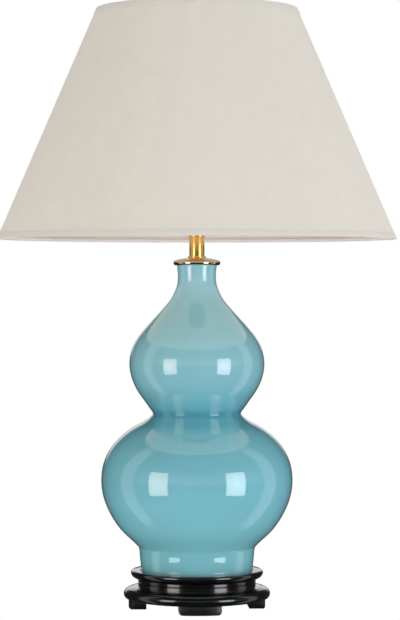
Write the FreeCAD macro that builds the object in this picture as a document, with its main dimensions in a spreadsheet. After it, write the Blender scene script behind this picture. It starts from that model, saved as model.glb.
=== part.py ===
"""Double gourd table lamp: a porcelain vase on a four-footed wooden stand, a brass push-bar
lampholder, a wire shade carrier and a tapered fabric shade. Millimetres, +Z up, origin on the
floor in the middle of the stand, +Y towards the back, where the flex enters."""
import FreeCAD, Part
import Sketcher
import math
import os

Vector = FreeCAD.Vector
doc = FreeCAD.newDocument("double_gourd_lamp")
sheet = doc.addObject("Spreadsheet::Sheet", "Sizes")
known = {}


def set_sizes(sizes):
    """Each driving dimension is one cell of the sheet, with its name beside it."""
    for name, number in sizes.items():
        row = len(known) + 1
        sheet.set(f"A{row}", name)
        sheet.set(f"B{row}", str(number))
        sheet.setAlias(f"B{row}", name)
        known[name] = f"B{row}"


def each_word(formula, change):
    """A formula here is a sum of names and numbers, such as "board_top - 2*vase_wall"."""
    return " ".join(
        word if word in ("+", "-") else "*".join(change(factor) for factor in word.split("*"))
        for word in formula.split()
    )


def bound(formula):
    return each_word(formula, lambda factor: f"Sizes.{factor}" if factor in known else factor)


def worth(formula):
    """The number that a formula comes to with the sheet as it stands."""
    total = 0.0
    sign = 1.0
    for word in formula.split():
        if word in ("+", "-"):
            sign = 1.0 if word == "+" else -1.0
            continue
        product = sign
        for factor in word.split("*"):
            product *= float(sheet.get(known[factor])) if factor in known else float(factor)
        total += product
    return total


def bind(thing, **formulas):
    for name, formula in formulas.items():
        thing.setExpression(name, bound(formula))


# ---------------------------------------------------------------- driving dimensions
# Lengths in millimetres. A formula below names them, and adds or subtracts them.
# stand: feet, apron, waist and the board with its rim
foot_felt_thick = 1.2
foot_felt_radius = 8.0
foot_height = 10.3
foot_reach = 87.5
foot_depth = 22.0
foot_width = 54.0
foot_corner = 4.5
apron_height = 15.5
apron_radius = 93.8
apron_foot_radius = 88.6
apron_top_radius = 83.0
apron_low = 2.6
apron_middle = 6.4
apron_shoulder = 12.2
apron_shoulder_radius = 90.6
apron_low_radius = 92.4
waist_radius = 75.4
waist_height = 10.0
waist_groove = 0.9
waist_groove_height = 6.2
stand_hollow_radius = 61.0
board_thick = 11.0
rim_radius = 84.7
rim_bevel = 4.2
rim_rounding = 1.6
seat_recess_depth = 2.0
seat_recess_gap = 1.4
seat_felt_thick = 1.0
board_overhang = 1.0
seat_felt_inset = 0.5

# cord bush in the back of the waist
bush_bore_radius = 3.2
bush_wall = 1.1
bush_flange = 0.5
bush_flange_thick = 1.2
bush_height = 5.0
bush_fit = 0.1
bush_reach_in = 1.0
bush_seat_gap = 0.2

# vase: radius and height of each point its outline needs, from the foot's underside
vase_wall = 5.5
vase_hole_radius = 6.2
foot_ring_width = 9.0
foot_ring_depth = 4.0
vase_foot_radius = 71.2
vase_foot_top_radius = 73.9
vase_foot_top = 27.6
flank_radius = 94.3
flank_level = 49.4
underbelly_radius = 111.9
underbelly_level = 75.0
belly_radius = 122.6
belly_level = 116.6
shoulder_radius = 113.3
shoulder_drop = 49.4
upper_shoulder_radius = 90.6
upper_shoulder_drop = 23.8
crease_lip_radius = 65.6
crease_lip_drop = 8.8
crease_radius = 55.1
crease_level = 201.2
bulb_under_radius = 67.9
bulb_under_rise = 17.1
bulb_flank_radius = 80.5
bulb_flank_rise = 37.6
bulb_radius = 86.5
bulb_rise = 65.2
bulb_top_radius = 80.8
bulb_top_rise = 88.8
bulb_shoulder_radius = 66.4
bulb_shoulder_rise = 109.3
throat_radius = 43.1
throat_drop = 55.9
neck_low_radius = 31.4
neck_low_drop = 40.5
neck_bend_radius = 25.2
neck_bend_drop = 25.2
neck_radius = 24.3
neck_drop = 15.4
vase_lip_radius = 25.6
upper_vase_height = 190.8
vase_mouth_radius = 18.5

# rod, washer and nut that clamp the lamp together
rod_radius = 5.0
rod_bore_radius = 3.75
rod_fit = 0.3
rod_tail = 3.0
washer_radius = 20.0
washer_thick = 2.0
nut_across = 17.0
nut_thick = 6.0
rod_head = 2.0

# vase cap, its plug and the brass neck tube
plug_flange_radius = 25.0
plug_flange_thick = 2.5
plug_depth = 10.0
plug_gap = 0.6
cap_radius = 30.0
cap_height = 5.6
cap_drop = 1.6
cap_skirt = 1.4
cap_crown_radius = 14.0
cap_edge_height = 2.6
tube_radius = 9.65
tube_wall = 1.0
tube_length = 26.8
flange_width = 1.8
flange_height = 2.4
collar_thick = 2.8
collar_radius = 10.5
cap_bead_drop = 1.0

# lampholder with its push bar
holder_radius = 19.6
holder_wall = 1.0
holder_nose_radius = 9.2
holder_nose = 3.5
holder_dome = 16.0
holder_cap_height = 27.0
holder_hip_radius = 15.6
holder_hip = 7.4
insulator_base = 6.0
sleeve_height = 33.0
sleeve_radius = 19.2
sleeve_wall = 1.5
insulator_radius = 17.5
insulator_wall = 3.0
shell_wall = 0.5
socket_gap = 0.3
contact_width = 7.0
contact_thick = 0.8
contact_rise = 1.6
bar_level = 21.4
bar_radius = 2.0
bar_half_length = 25.1
bar_core = 8.0
button_radius = 3.0
button_fit = 0.3
bar_travel = 7.0
bridge_radius = 3.0
bridge_width = 4.0
block_length = 18.0
block_depth = 8.0
block_height = 11.0
block_face = 4.2
strip_length = 3.0
strip_thick = 0.8
screw_radius = 1.6
screw_length = 5.0
screw_spacing = 6.0
shell_drop = 3.0
bridge_fit = 0.02
strip_height = 4.0

# rings and the wire carrier that hold the shade
ring_level = 18.0
ring_thick = 4.0
ring_radius = 26.0
ring_fit = 0.1
ring_notch = 1.2
carrier_plate = 2.0
carrier_rim = 4.5
wire_radius = 1.6
carrier_radius = 46.5
wire_bend = 22.0
gallery_width = 4.8
gallery_thick = 2.0
gallery_collar = 5.0
gallery_wall = 1.2
fitter_fit = 0.4
fitter_width = 8.0
fitter_thick = 2.0
seat_gap = 0.3

# bulb
bulb_cap_radius = 13.1
bulb_cap_height = 20.0
bulb_button = 5.2
bulb_tip_radius = 4.6
bulb_tip_height = 1.6
glass_radius = 30.0
glass_height = 79.0
glass_wall = 1.0
glass_neck_radius = 12.9
stem_radius = 5.0
stem_height = 38.0
bulb_cap_wall = 0.8
bulb_button_rim = 1.0
stem_foot = 1.0
stem_flare = 8.0

# shade: the outside of its fabric cone, and its frame
shade_bottom = 471.0
shade_height = 294.0
shade_bottom_radius = 255.2
shade_top_radius = 128.4
cover_thick = 0.7
liner_thick = 1.0
frame_wire = 1.7
wire_inset = 3.4
snug = 0.1
trim_thick = 0.5
trim_height = 7.0
fitter_drop = 17.0
spoke_radius = 1.7
spoke_gap = 0.2

CARRIER_WIRES = 4
SHADE_SPOKES = 3
NOTCHES = 12
set_sizes({name: number for name, number in globals().items() if isinstance(number, float)})
doc.recompute()

# levels above the floor, as sums of the sizes below them
APRON_BASE = "foot_felt_thick + foot_height"
WAIST_BASE = f"{APRON_BASE} + apron_height"
BOARD_BASE = f"{WAIST_BASE} + waist_height"
BOARD_TOP = f"{BOARD_BASE} + board_thick"
VASE_BASE = f"{BOARD_TOP} - seat_recess_depth + seat_felt_thick"
VASE_HEIGHT = "crease_level + upper_vase_height"
VASE_LIP = f"{VASE_BASE} + {VASE_HEIGHT}"
CAP_BASE = f"{VASE_LIP} + plug_flange_thick"
TUBE_BASE = f"{CAP_BASE} + cap_height"
COLLAR_BASE = f"{TUBE_BASE} + tube_length"
HOLDER_BASE = f"{COLLAR_BASE} + collar_thick"
SOCKET_BASE = f"{HOLDER_BASE} + holder_cap_height"
SOCKET_FLOOR = f"{SOCKET_BASE} + insulator_base"
RING_BASE = f"{SOCKET_BASE} + ring_level"
PLATE_BASE = f"{RING_BASE} + ring_thick"
BULB_BASE = f"{SOCKET_FLOOR} + contact_thick + contact_rise + socket_gap"
GLASS_BASE = f"{BULB_BASE} + bulb_tip_height + bulb_button + bulb_cap_height"
SHADE_TOP = "shade_bottom + shade_height"
FITTER_BASE = f"{SHADE_TOP} - fitter_drop"
GALLERY_TOP = f"{FITTER_BASE} - seat_gap"
pieces = []


# ---------------------------------------------------------------- ways of making a piece
def keep(thing, label):
    """Names a finished sub-part and lists it for writing."""
    thing.Label = label
    pieces.append(thing)
    return thing


def new_body(label, level="0"):
    body = doc.addObject("PartDesign::Body", "Body_" + label)
    body.setExpression(".Placement.Base.z", bound(level))
    return keep(body, label)


def new_sketch(body, role, name):
    plane = [part for part in body.Origin.OriginFeatures if part.Role == role][0]
    sketch = body.newObject("Sketcher::SketchObject", name + "_" + body.Label)
    sketch.AttachmentSupport = [(plane, "")]
    sketch.MapMode = "FlatFace"
    return sketch


def pin_point(sketch, geometry, end, across, up):
    """Ties one point to the sheet: on an axis where a coordinate is 0, else by its distance."""
    if across == "0":
        sketch.addConstraint(Sketcher.Constraint("PointOnObject", geometry, end, -2))
    else:
        index = sketch.addConstraint(
            Sketcher.Constraint("DistanceX", -1, 1, geometry, end, worth(across))
        )
        sketch.setExpression(f"Constraints[{index}]", bound(across))
    if up == "0":
        sketch.addConstraint(Sketcher.Constraint("PointOnObject", geometry, end, -1))
    else:
        index = sketch.addConstraint(
            Sketcher.Constraint("DistanceY", -1, 1, geometry, end, worth(up))
        )
        sketch.setExpression(f"Constraints[{index}]", bound(up))


def place(point):
    return Vector(worth(point[0]), worth(point[1]), 0)


def add_arc(sketch, first, through, last):
    """An arc through a pinned middle point. Returns it with the numbers of its two ends in order."""
    start, middle, end = place(first), place(through), place(last)
    round_all = Part.Arc(start, middle, end).toShape().Curve
    centre = round_all.Center
    forwards = ((middle - start).cross(end - middle)).z > 0
    low, high = (start, end) if forwards else (end, start)
    angles = [math.atan2(point.y - centre.y, point.x - centre.x) for point in (low, high)]
    circle = Part.Circle(centre, Vector(0, 0, 1), round_all.Radius)
    arc = sketch.addGeometry(Part.ArcOfCircle(circle, *angles), False)
    dot = sketch.addGeometry(Part.Point(middle), True)
    pin_point(sketch, dot, 1, *through)
    sketch.addConstraint(Sketcher.Constraint("PointOnObject", dot, 1, arc))
    return (arc, 1, 2) if forwards else (arc, 2, 1)


def outline(sketch, corners, curves=None):
    """A closed outline through corners. curves maps a side's number to a point its arc goes through."""
    curves = curves or {}
    sides = []
    for number, corner in enumerate(corners):
        after = corners[(number + 1) % len(corners)]
        if number in curves:
            sides.append(add_arc(sketch, corner, curves[number], after))
        else:
            line = Part.LineSegment(place(corner), place(after))
            sides.append((sketch.addGeometry(line, False), 1, 2))
    for number, (side, start, end) in enumerate(sides):
        following, next_start, _ = sides[(number + 1) % len(sides)]
        sketch.addConstraint(
            Sketcher.Constraint("Coincident", side, end, following, next_start))
        pin_point(sketch, side, start, *corners[number])


def turned(label, level, corners, curves=None):
    """A piece turned or spun about the lamp's axis from its half outline (radius, height)."""
    body = new_body(label, level)
    sketch = new_sketch(body, "XZ_Plane", "half_outline")
    outline(sketch, corners, curves)
    turning = body.newObject("PartDesign::Revolution", "turning_" + label)
    turning.Profile = sketch
    turning.ReferenceAxis = (sketch, ["V_Axis"])
    turning.Angle = 360
    doc.recompute()
    return body


def ring(label, level, inner, outer, thick):
    return turned(label, level, [(inner, "0"), (outer, "0"), (outer, thick), (inner, thick)])


def level_hole(body, radius, height, depth_from_middle, role="XZ_Plane", both=False):
    """A straight hole across the axis, cut from the middle plane outwards."""
    before = body.Shape.Volume
    sketch = new_sketch(body, role, "hole_outline")
    circle = sketch.addGeometry(
        Part.Circle(Vector(0, worth(height), 0), Vector(0, 0, 1), worth(radius)), False
    )
    pin_point(sketch, circle, 3, "0", height)
    index = sketch.addConstraint(Sketcher.Constraint("Radius", circle, worth(radius)))
    sketch.setExpression(f"Constraints[{index}]", bound(radius))
    hole = body.newObject("PartDesign::Pocket", "hole_" + body.Label)
    hole.Profile = sketch
    hole.Midplane = both
    bind(hole, Length=depth_from_middle)
    doc.recompute()
    if body.Shape.Volume > before - 1e-6:
        hole.Reversed = True
        doc.recompute()
    if body.Shape.Volume > before - 1e-6:
        raise ValueError(body.Label + ": its hole cuts nothing")
    return hole


def level_rod(label, level, start, length, radius):
    """A round bar along X whose left end is at start."""
    rod = doc.addObject("Part::Cylinder", "Bar_" + label)
    bind(rod, Radius=radius, Height=length)
    rod.Placement.Rotation = FreeCAD.Rotation(Vector(0, 1, 0), 90)
    rod.setExpression(".Placement.Base.x", bound(start))
    rod.setExpression(".Placement.Base.z", bound(level))
    return rod


def block(label, level, corner, size):
    """A rectangular block: corner gives x and y of its lowest corner, size its x, y and z lengths."""
    box = doc.addObject("Part::Box", "Block_" + label)
    bind(box, Length=size[0], Width=size[1], Height=size[2])
    box.setExpression(".Placement.Base.x", bound(corner[0]))
    box.setExpression(".Placement.Base.y", bound(corner[1]))
    box.setExpression(".Placement.Base.z", bound(level))
    return box


# ---------------------------------------------------------------- wooden stand
def make_feet():
    """Four blocks cut from one ring, rounded at their lower corners, each with a felt disc."""
    felts = []
    for name, angle in (("front", -90), ("right", 0), ("back", 90), ("left", 180)):
        blank = doc.addObject("Part::Box", "foot_blank_" + name)
        bind(blank, Length="foot_depth", Width="foot_width", Height="foot_height")
        blank.setExpression(".Placement.Base.x", bound("foot_reach - foot_depth"))
        blank.setExpression(".Placement.Base.y", bound("-0.5*foot_width"))
        turn = doc.addObject("Part::Cylinder", "foot_turning_" + name)
        bind(turn, Radius="foot_reach", Height="foot_height")
        curved = doc.addObject("Part::Common", "foot_curved_" + name)
        curved.Base = blank
        curved.Tool = turn
        doc.recompute()
        half = worth("0.5*foot_width")
        lower = [
            number for number, edge in enumerate(curved.Shape.Edges, 1)
            if all(abs(end.Z) < 1e-6 and abs(abs(end.Y) - half) < 1e-6 for end in edge.Vertexes)
            and len(edge.Vertexes) == 2
            and abs(edge.Vertexes[0].Y - edge.Vertexes[1].Y) < 1e-6
        ]
        foot = doc.addObject("Part::Fillet", "foot_" + name)
        foot.Base = curved
        rounding = min(worth("foot_corner"), 0.9 * worth("foot_height"))
        foot.Edges = [(number, rounding, rounding) for number in lower]
        foot.Placement.Rotation = FreeCAD.Rotation(Vector(0, 0, 1), angle)
        foot.setExpression(".Placement.Base.z", bound("foot_felt_thick"))
        keep(foot, "stand_foot_" + name)
        reach = worth("foot_reach - 0.5*foot_depth")
        turn_to = math.radians(angle)
        felt = doc.addObject("Part::Cylinder", "foot_felt_" + name)
        bind(felt, Radius="foot_felt_radius", Height="foot_felt_thick")
        felt.Placement.Base = Vector(reach * math.cos(turn_to), reach * math.sin(turn_to), 0)
        felts.append(felt)
    group = doc.addObject("Part::Compound", "felt_group")
    group.Links = felts
    keep(group, "foot_felts")


def make_stand():
    turned(
        "stand_apron", APRON_BASE,
        [("stand_hollow_radius", "0"), ("apron_foot_radius", "0"),
         ("apron_radius", "apron_middle"),
         ("apron_top_radius", "apron_height"), ("stand_hollow_radius", "apron_height")],
        {1: ("apron_low_radius", "apron_low"), 2: ("apron_shoulder_radius", "apron_shoulder")},
    )
    waist = turned(
        "stand_waist", WAIST_BASE,
        [("stand_hollow_radius", "0"), ("waist_radius", "0"),
         ("waist_radius", "waist_groove_height - waist_groove"),
         ("waist_radius - waist_groove", "waist_groove_height"),
         ("waist_radius", "waist_groove_height + waist_groove"),
         ("waist_radius", "waist_height"), ("stand_hollow_radius", "waist_height")],
    )
    level_hole(waist, "bush_bore_radius + bush_wall", "bush_height", "waist_radius + board_overhang")
    recess = "vase_foot_radius + seat_recess_gap"
    board = turned(
        "stand_board", BOARD_BASE,
        [("rod_radius + rod_fit", "0"), ("waist_radius + board_overhang", "0"), ("rim_radius", "rim_bevel"),
         ("rim_radius", "board_thick"), (recess, "board_thick"),
         (recess, "board_thick - seat_recess_depth"),
         ("rod_radius + rod_fit", "board_thick - seat_recess_depth")],
    )
    turning = board.Tip
    edges = [
        f"Edge{number}" for number, edge in enumerate(turning.Shape.Edges, 1)
        if edge.Closed and abs(edge.Curve.Radius - worth("rim_radius")) < 1e-6
        and abs(edge.Curve.Center.z - worth("board_thick")) < 1e-6
    ]
    rounding = board.newObject("PartDesign::Fillet", "rim_rounding_board")
    rounding.Base = (turning, edges)
    bind(rounding, Radius="rim_rounding")
    doc.recompute()
    ring("vase_seat_felt", f"{BOARD_TOP} - seat_recess_depth",
         "vase_foot_radius - foot_ring_width", "vase_foot_radius - seat_felt_inset", "seat_felt_thick")


def make_cord_bush():
    """A flanged rubber bush that lines the flex's hole in the back of the waist."""
    bush = new_body("cord_bush", f"{WAIST_BASE} + bush_height")
    sketch = new_sketch(bush, "XY_Plane", "half_outline")
    outer = "bush_bore_radius + bush_wall - bush_fit"
    rim = "bush_bore_radius + bush_wall + bush_flange"
    outside = "waist_radius + bush_seat_gap"
    inner_end = "stand_hollow_radius - bush_reach_in"
    outline(sketch, [
        ("bush_bore_radius", inner_end), (outer, inner_end),
        (outer, outside), (rim, outside), (rim, outside + " + bush_flange_thick"),
        ("bush_bore_radius", outside + " + bush_flange_thick")])
    turning = bush.newObject("PartDesign::Revolution", "turning_bush")
    turning.Profile = sketch
    turning.ReferenceAxis = (sketch, ["V_Axis"])
    turning.Angle = 360
    doc.recompute()


# ---------------------------------------------------------------- porcelain vase
def make_vase():
    """The double gourd: its wall is turned between an outline of arcs and a plain cast inside."""
    belly = [
        ("vase_foot_top_radius", "vase_foot_top"), ("flank_radius", "flank_level"),
        ("underbelly_radius", "underbelly_level"), ("belly_radius", "belly_level"),
        ("shoulder_radius", "crease_level - shoulder_drop"), ("upper_shoulder_radius", "crease_level - upper_shoulder_drop"),
        ("crease_lip_radius", "crease_level - crease_lip_drop"),
    ]
    upper = [
        ("crease_radius", "crease_level"), ("bulb_under_radius", "crease_level + bulb_under_rise"),
        ("bulb_flank_radius", "crease_level + bulb_flank_rise"), ("bulb_radius", "crease_level + bulb_rise"),
        ("bulb_top_radius", "crease_level + bulb_top_rise"), ("bulb_shoulder_radius", "crease_level + bulb_shoulder_rise"),
        ("throat_radius", f"{VASE_HEIGHT} - throat_drop"), ("neck_low_radius", f"{VASE_HEIGHT} - neck_low_drop"),
        ("neck_bend_radius", f"{VASE_HEIGHT} - neck_bend_drop"), ("neck_radius", f"{VASE_HEIGHT} - neck_drop"),
        ("vase_lip_radius", VASE_HEIGHT),
    ]
    ring_inner = "vase_foot_radius - foot_ring_width"
    corners = [(ring_inner, "0"), ("vase_foot_radius", "0")]
    curves = {}
    for run in (belly, upper):
        for corner, through in zip(run[0:-1:2], run[1::2]):
            curves[len(corners)] = through
            corners.append(corner)
        corners.append(run[-1])
    corners.append(("vase_mouth_radius", VASE_HEIGHT))
    for radius, level in reversed(upper[:-3]):
        corners.append((f"{radius} - vase_wall", level))
    for radius, level in reversed(belly[1:-1]):
        corners.append((f"{radius} - vase_wall", level))
    corners += [
        ("vase_foot_top_radius - vase_wall", "vase_foot_top + vase_wall"),
        ("vase_foot_radius - 2*vase_wall", "foot_ring_depth + vase_wall"),
        ("vase_hole_radius", "foot_ring_depth + vase_wall"),
        ("vase_hole_radius", "foot_ring_depth"), (ring_inner, "foot_ring_depth"),
    ]
    turned("vase", VASE_BASE, corners, curves)


# ---------------------------------------------------------------- rod, cap and neck tube
def make_rod():
    """A hollow threaded rod runs from a nut under the stand up into the lampholder."""
    start = f"{BOARD_BASE} - washer_thick - nut_thick - rod_tail"
    length = f"{HOLDER_BASE} + holder_nose + rod_head - foot_felt_thick - foot_height - apron_height"
    length += " - waist_height + washer_thick + nut_thick + rod_tail"
    ring("threaded_rod", start, "rod_bore_radius", "rod_radius", length)
    ring("rod_washer", f"{BOARD_BASE} - washer_thick", "rod_radius + rod_fit",
         "washer_radius", "washer_thick")
    nut = new_body("rod_nut", f"{BOARD_BASE} - washer_thick - nut_thick")
    sketch = new_sketch(nut, "XY_Plane", "hexagon")
    corner = worth("nut_across") / math.sqrt(3)
    points = [
        Vector(corner * math.cos(math.radians(60 * turn)), corner * math.sin(math.radians(60 * turn)), 0)
        for turn in range(6)
    ]
    for start_point, end_point in zip(points, points[1:] + points[:1]):
        sketch.addGeometry(Part.LineSegment(start_point, end_point), False)
    sketch.addGeometry(
        Part.Circle(Vector(0, 0, 0), Vector(0, 0, 1), worth("rod_radius + snug")), False)
    pad = nut.newObject("PartDesign::Pad", "nut_blank")
    pad.Profile = sketch
    bind(pad, Length="nut_thick")
    doc.recompute()


def make_cap():
    turned(
        "neck_plug", f"{VASE_LIP} - plug_depth",
        [("rod_radius + rod_fit", "0"), ("vase_mouth_radius - plug_gap", "0"),
         ("vase_mouth_radius - plug_gap", "plug_depth"), ("plug_flange_radius", "plug_depth"),
         ("plug_flange_radius", "plug_depth + plug_flange_thick"),
         ("rod_radius + rod_fit", "plug_depth + plug_flange_thick")],
    )
    turned(
        "vase_cap", CAP_BASE,
        [("rod_radius + rod_fit", "0"), ("cap_radius - 2*cap_skirt", "0"),
         ("cap_radius - cap_skirt", "-1*cap_drop - plug_flange_thick"),
         ("cap_radius", "-1*cap_drop - plug_flange_thick"), ("cap_radius", "0"),
         ("cap_radius - cap_skirt", "cap_edge_height - cap_bead_drop"),
         ("cap_crown_radius", "cap_height"), ("rod_radius + rod_fit", "cap_height")],
        {5: ("0.5*cap_radius + 0.5*cap_crown_radius", "0.5*cap_height + 0.5*cap_edge_height")},
    )
    ring("neck_tube", TUBE_BASE, "tube_radius - tube_wall", "tube_radius", "tube_length")
    ring("tube_flange", TUBE_BASE, "tube_radius + snug", "tube_radius + flange_width",
         "flange_height")
    ring("tube_collar", COLLAR_BASE, "rod_radius + rod_fit", "collar_radius", "collar_thick")


# ---------------------------------------------------------------- lampholder
def make_lampholder():
    cap = turned(
        "lampholder_cap", HOLDER_BASE,
        [("rod_radius + snug", "0"), ("holder_nose_radius", "0"),
         ("holder_nose_radius", "holder_nose"), ("holder_radius", "holder_dome"),
         ("holder_radius", "holder_cap_height"),
         ("holder_radius - holder_wall", "holder_cap_height"),
         ("holder_radius - holder_wall", "holder_dome"),
         ("holder_hip_radius - holder_wall", "holder_hip + holder_wall"),
         ("holder_nose_radius - holder_wall", "holder_nose + holder_wall"),
         ("rod_radius + snug", "holder_nose + holder_wall")],
        {2: ("holder_hip_radius", "holder_hip")},
    )
    level_hole(cap, "button_radius + button_fit", "bar_level", "3*holder_radius",
               "YZ_Plane", both=True)
    ring("threaded_sleeve", SOCKET_BASE, "sleeve_radius - sleeve_wall", "sleeve_radius",
         "insulator_base + sleeve_height")
    turned(
        "socket_insulator", SOCKET_BASE,
        [("screw_radius", "0"), ("insulator_radius", "0"),
         ("insulator_radius", "insulator_base + sleeve_height"),
         ("insulator_radius - insulator_wall", "insulator_base + sleeve_height"),
         ("insulator_radius - insulator_wall", "insulator_base"),
         ("screw_radius", "insulator_base")],
    )
    ring("screw_shell", SOCKET_FLOOR, "bulb_cap_radius + socket_gap",
         "bulb_cap_radius + socket_gap + shell_wall", "sleeve_height - shell_drop")
    strip = [
        ("-0.5*contact_width", "0"), ("0.5*contact_width", "0"),
        ("0.5*contact_width", "contact_thick + contact_rise"),
        ("0.5*contact_width - contact_thick", "contact_thick + contact_rise"),
        ("-0.5*contact_width", "contact_thick"),
    ]
    contact = new_body("centre_contact", SOCKET_FLOOR)
    sketch = new_sketch(contact, "XZ_Plane", "bent_strip")
    outline(sketch, strip)
    pad = contact.newObject("PartDesign::Pad", "strip_width")
    pad.Profile = sketch
    pad.Midplane = True
    bind(pad, Length="0.5*contact_width")
    doc.recompute()


def make_switch():
    """The push bar slides through the cap and carries a bridge between two fixed strips."""
    level = f"{HOLDER_BASE} + bar_level"
    middle = "-0.5*bar_travel"
    keep(level_rod("bar", level, f"{middle} - bar_core", "2*bar_core", "bar_radius"), "push_bar")
    bridge = doc.addObject("Part::Cut", "bridge_collar")
    bridge.Base = level_rod("bridge", level, f"{middle} - 0.5*bridge_width", "bridge_width",
                            "bridge_radius")
    bridge.Tool = level_rod("bridge_bore", level, f"{middle} - bar_core", "2*bar_core",
                            "bar_radius + bridge_fit")
    keep(bridge, "switch_bridge")
    for side, start in (("left", f"{middle} - bar_half_length"), ("right", f"{middle} + bar_core")):
        blank = level_rod("button_" + side, level, start, "bar_half_length - bar_core",
                          "button_radius")
        doc.recompute()
        tip = -worth("bar_half_length") if side == "left" else worth("bar_half_length")
        tip += worth(middle)
        edges = [
            number for number, edge in enumerate(blank.Shape.Edges, 1)
            if edge.Closed and abs(edge.CenterOfMass.x - tip) < 1e-6
        ]
        button = doc.addObject("Part::Fillet", "domed_button_" + side)
        button.Base = blank
        rounding = 0.6 * worth("button_radius")
        button.Edges = [(number, rounding, rounding) for number in edges]
        keep(button, "push_button_" + side)
    block_level = f"{SOCKET_BASE} - block_height"
    keep(block("switch", block_level, ("-0.5*block_length", "block_face"),
               ("block_length", "block_depth", "block_height")), "switch_block")
    strips = doc.addObject("Part::Compound", "strips")
    strips.Links = [
        block(f"strip_{side}", f"{level} - 0.5*strip_height", (start, "block_face - strip_thick"),
              ("strip_length", "strip_thick", "strip_height"))
        for side, start in (("in", "0.5*block_length - strip_length"), ("out", "0"))
    ]
    keep(strips, "switch_contacts")
    screws = doc.addObject("Part::Compound", "screws")
    links = []
    for number in (-1, 0, 1):
        screw = doc.addObject("Part::Cylinder", f"screw_{number + 1}")
        bind(screw, Radius="screw_radius", Height="screw_length")
        screw.Placement.Rotation = FreeCAD.Rotation(Vector(1, 0, 0), 90)
        screw.setExpression(".Placement.Base.x", bound(f"{number}*screw_spacing"))
        screw.setExpression(".Placement.Base.y", bound("-1*block_face"))
        screw.setExpression(".Placement.Base.z", bound(f"{SOCKET_BASE} - screw_radius - snug"))
        links.append(screw)
    screws.Links = links
    keep(screws, "terminal_screws")


# ---------------------------------------------------------------- shade rings and carrier
def make_shade_rings():
    """Two threaded rings with thumb notches clamp the carrier's plate on the sleeve."""
    for name, level in (("lower", RING_BASE), ("upper", f"{PLATE_BASE} + carrier_plate")):
        nut = ring(f"{name}_shade_ring", level, "sleeve_radius + ring_fit", "ring_radius",
                   "ring_thick")
        sketch = new_sketch(nut, "XY_Plane", "notch")
        circle = sketch.addGeometry(
            Part.Circle(Vector(worth("ring_radius"), 0, 0), Vector(0, 0, 1), worth("ring_notch")),
            False)
        pin_point(sketch, circle, 3, "ring_radius", "0")
        index = sketch.addConstraint(
            Sketcher.Constraint("Radius", circle, worth("ring_notch")))
        sketch.setExpression(f"Constraints[{index}]", bound("ring_notch"))
        notch = nut.newObject("PartDesign::Pocket", f"thumb_notch_{name}")
        notch.Profile = sketch
        notch.Type = "ThroughAll"
        notch.Midplane = True
        doc.recompute()
        pattern = nut.newObject("PartDesign::PolarPattern", f"thumb_notches_{name}")
        pattern.Originals = [notch]
        pattern.Axis = (sketch, ["N_Axis"])
        pattern.Angle = 360
        pattern.Occurrences = NOTCHES
        nut.Tip = pattern
        doc.recompute()


def swept_wire(points, bend, radius):
    """A round wire along straight runs joined by a tangent arc at the middle point."""
    first, corner, last = points
    back = (first - corner).normalize()
    on = (last - corner).normalize()
    half = back.getAngle(on) / 2
    setback = bend / math.tan(half)
    start = corner + back * setback
    end = corner + on * setback
    centre = corner + (back + on).normalize() * (bend / math.sin(half))
    middle = centre + (corner - centre).normalize() * bend
    path = Part.Wire([
        Part.LineSegment(first, start).toShape(),
        Part.Arc(start, middle, end).toShape(),
        Part.LineSegment(end, last).toShape(),
    ])
    section = Part.Wire([Part.Circle(first, corner - first, radius).toShape()])
    return path.makePipeShell([section], True, False)


def make_carrier():
    ring("carrier_plate", PLATE_BASE, "sleeve_radius + ring_fit", "ring_radius + carrier_rim",
         "carrier_plate")
    head = worth(f"{GALLERY_TOP} - gallery_thick")
    wire = worth("wire_radius")
    out = worth("carrier_radius")
    slant = wire * math.sin(math.radians(45))
    snug = worth("snug")
    start = Vector(worth("ring_radius") + 3 * snug + slant, 0,
                   worth(f"{PLATE_BASE} + carrier_plate") + snug + slant)
    corner = Vector(out, 0, start.z + out - start.x)
    shape = swept_wire([start, corner, Vector(out, 0, head)], worth("wire_bend"), wire)
    wires = []
    for number in range(CARRIER_WIRES):
        copy = shape.copy()
        copy.rotate(Vector(0, 0, 0), Vector(0, 0, 1), 45 + 360 * number / CARRIER_WIRES)
        wires.append(copy)
    feature = doc.addObject("Part::Feature", "carrier_wire_set")
    feature.Shape = Part.Compound(wires)
    keep(feature, "carrier_wires")
    inner = "carrier_radius - 0.5*gallery_width"
    outer = "carrier_radius + 0.5*gallery_width"
    turned(
        "carrier_gallery", f"{GALLERY_TOP} - gallery_thick",
        [(inner, "0"), (outer, "0"), (outer, "gallery_thick"),
         (inner + " + gallery_wall", "gallery_thick"),
         (inner + " + gallery_wall", "gallery_thick + gallery_collar"),
         (inner, "gallery_thick + gallery_collar")],
    )


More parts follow.
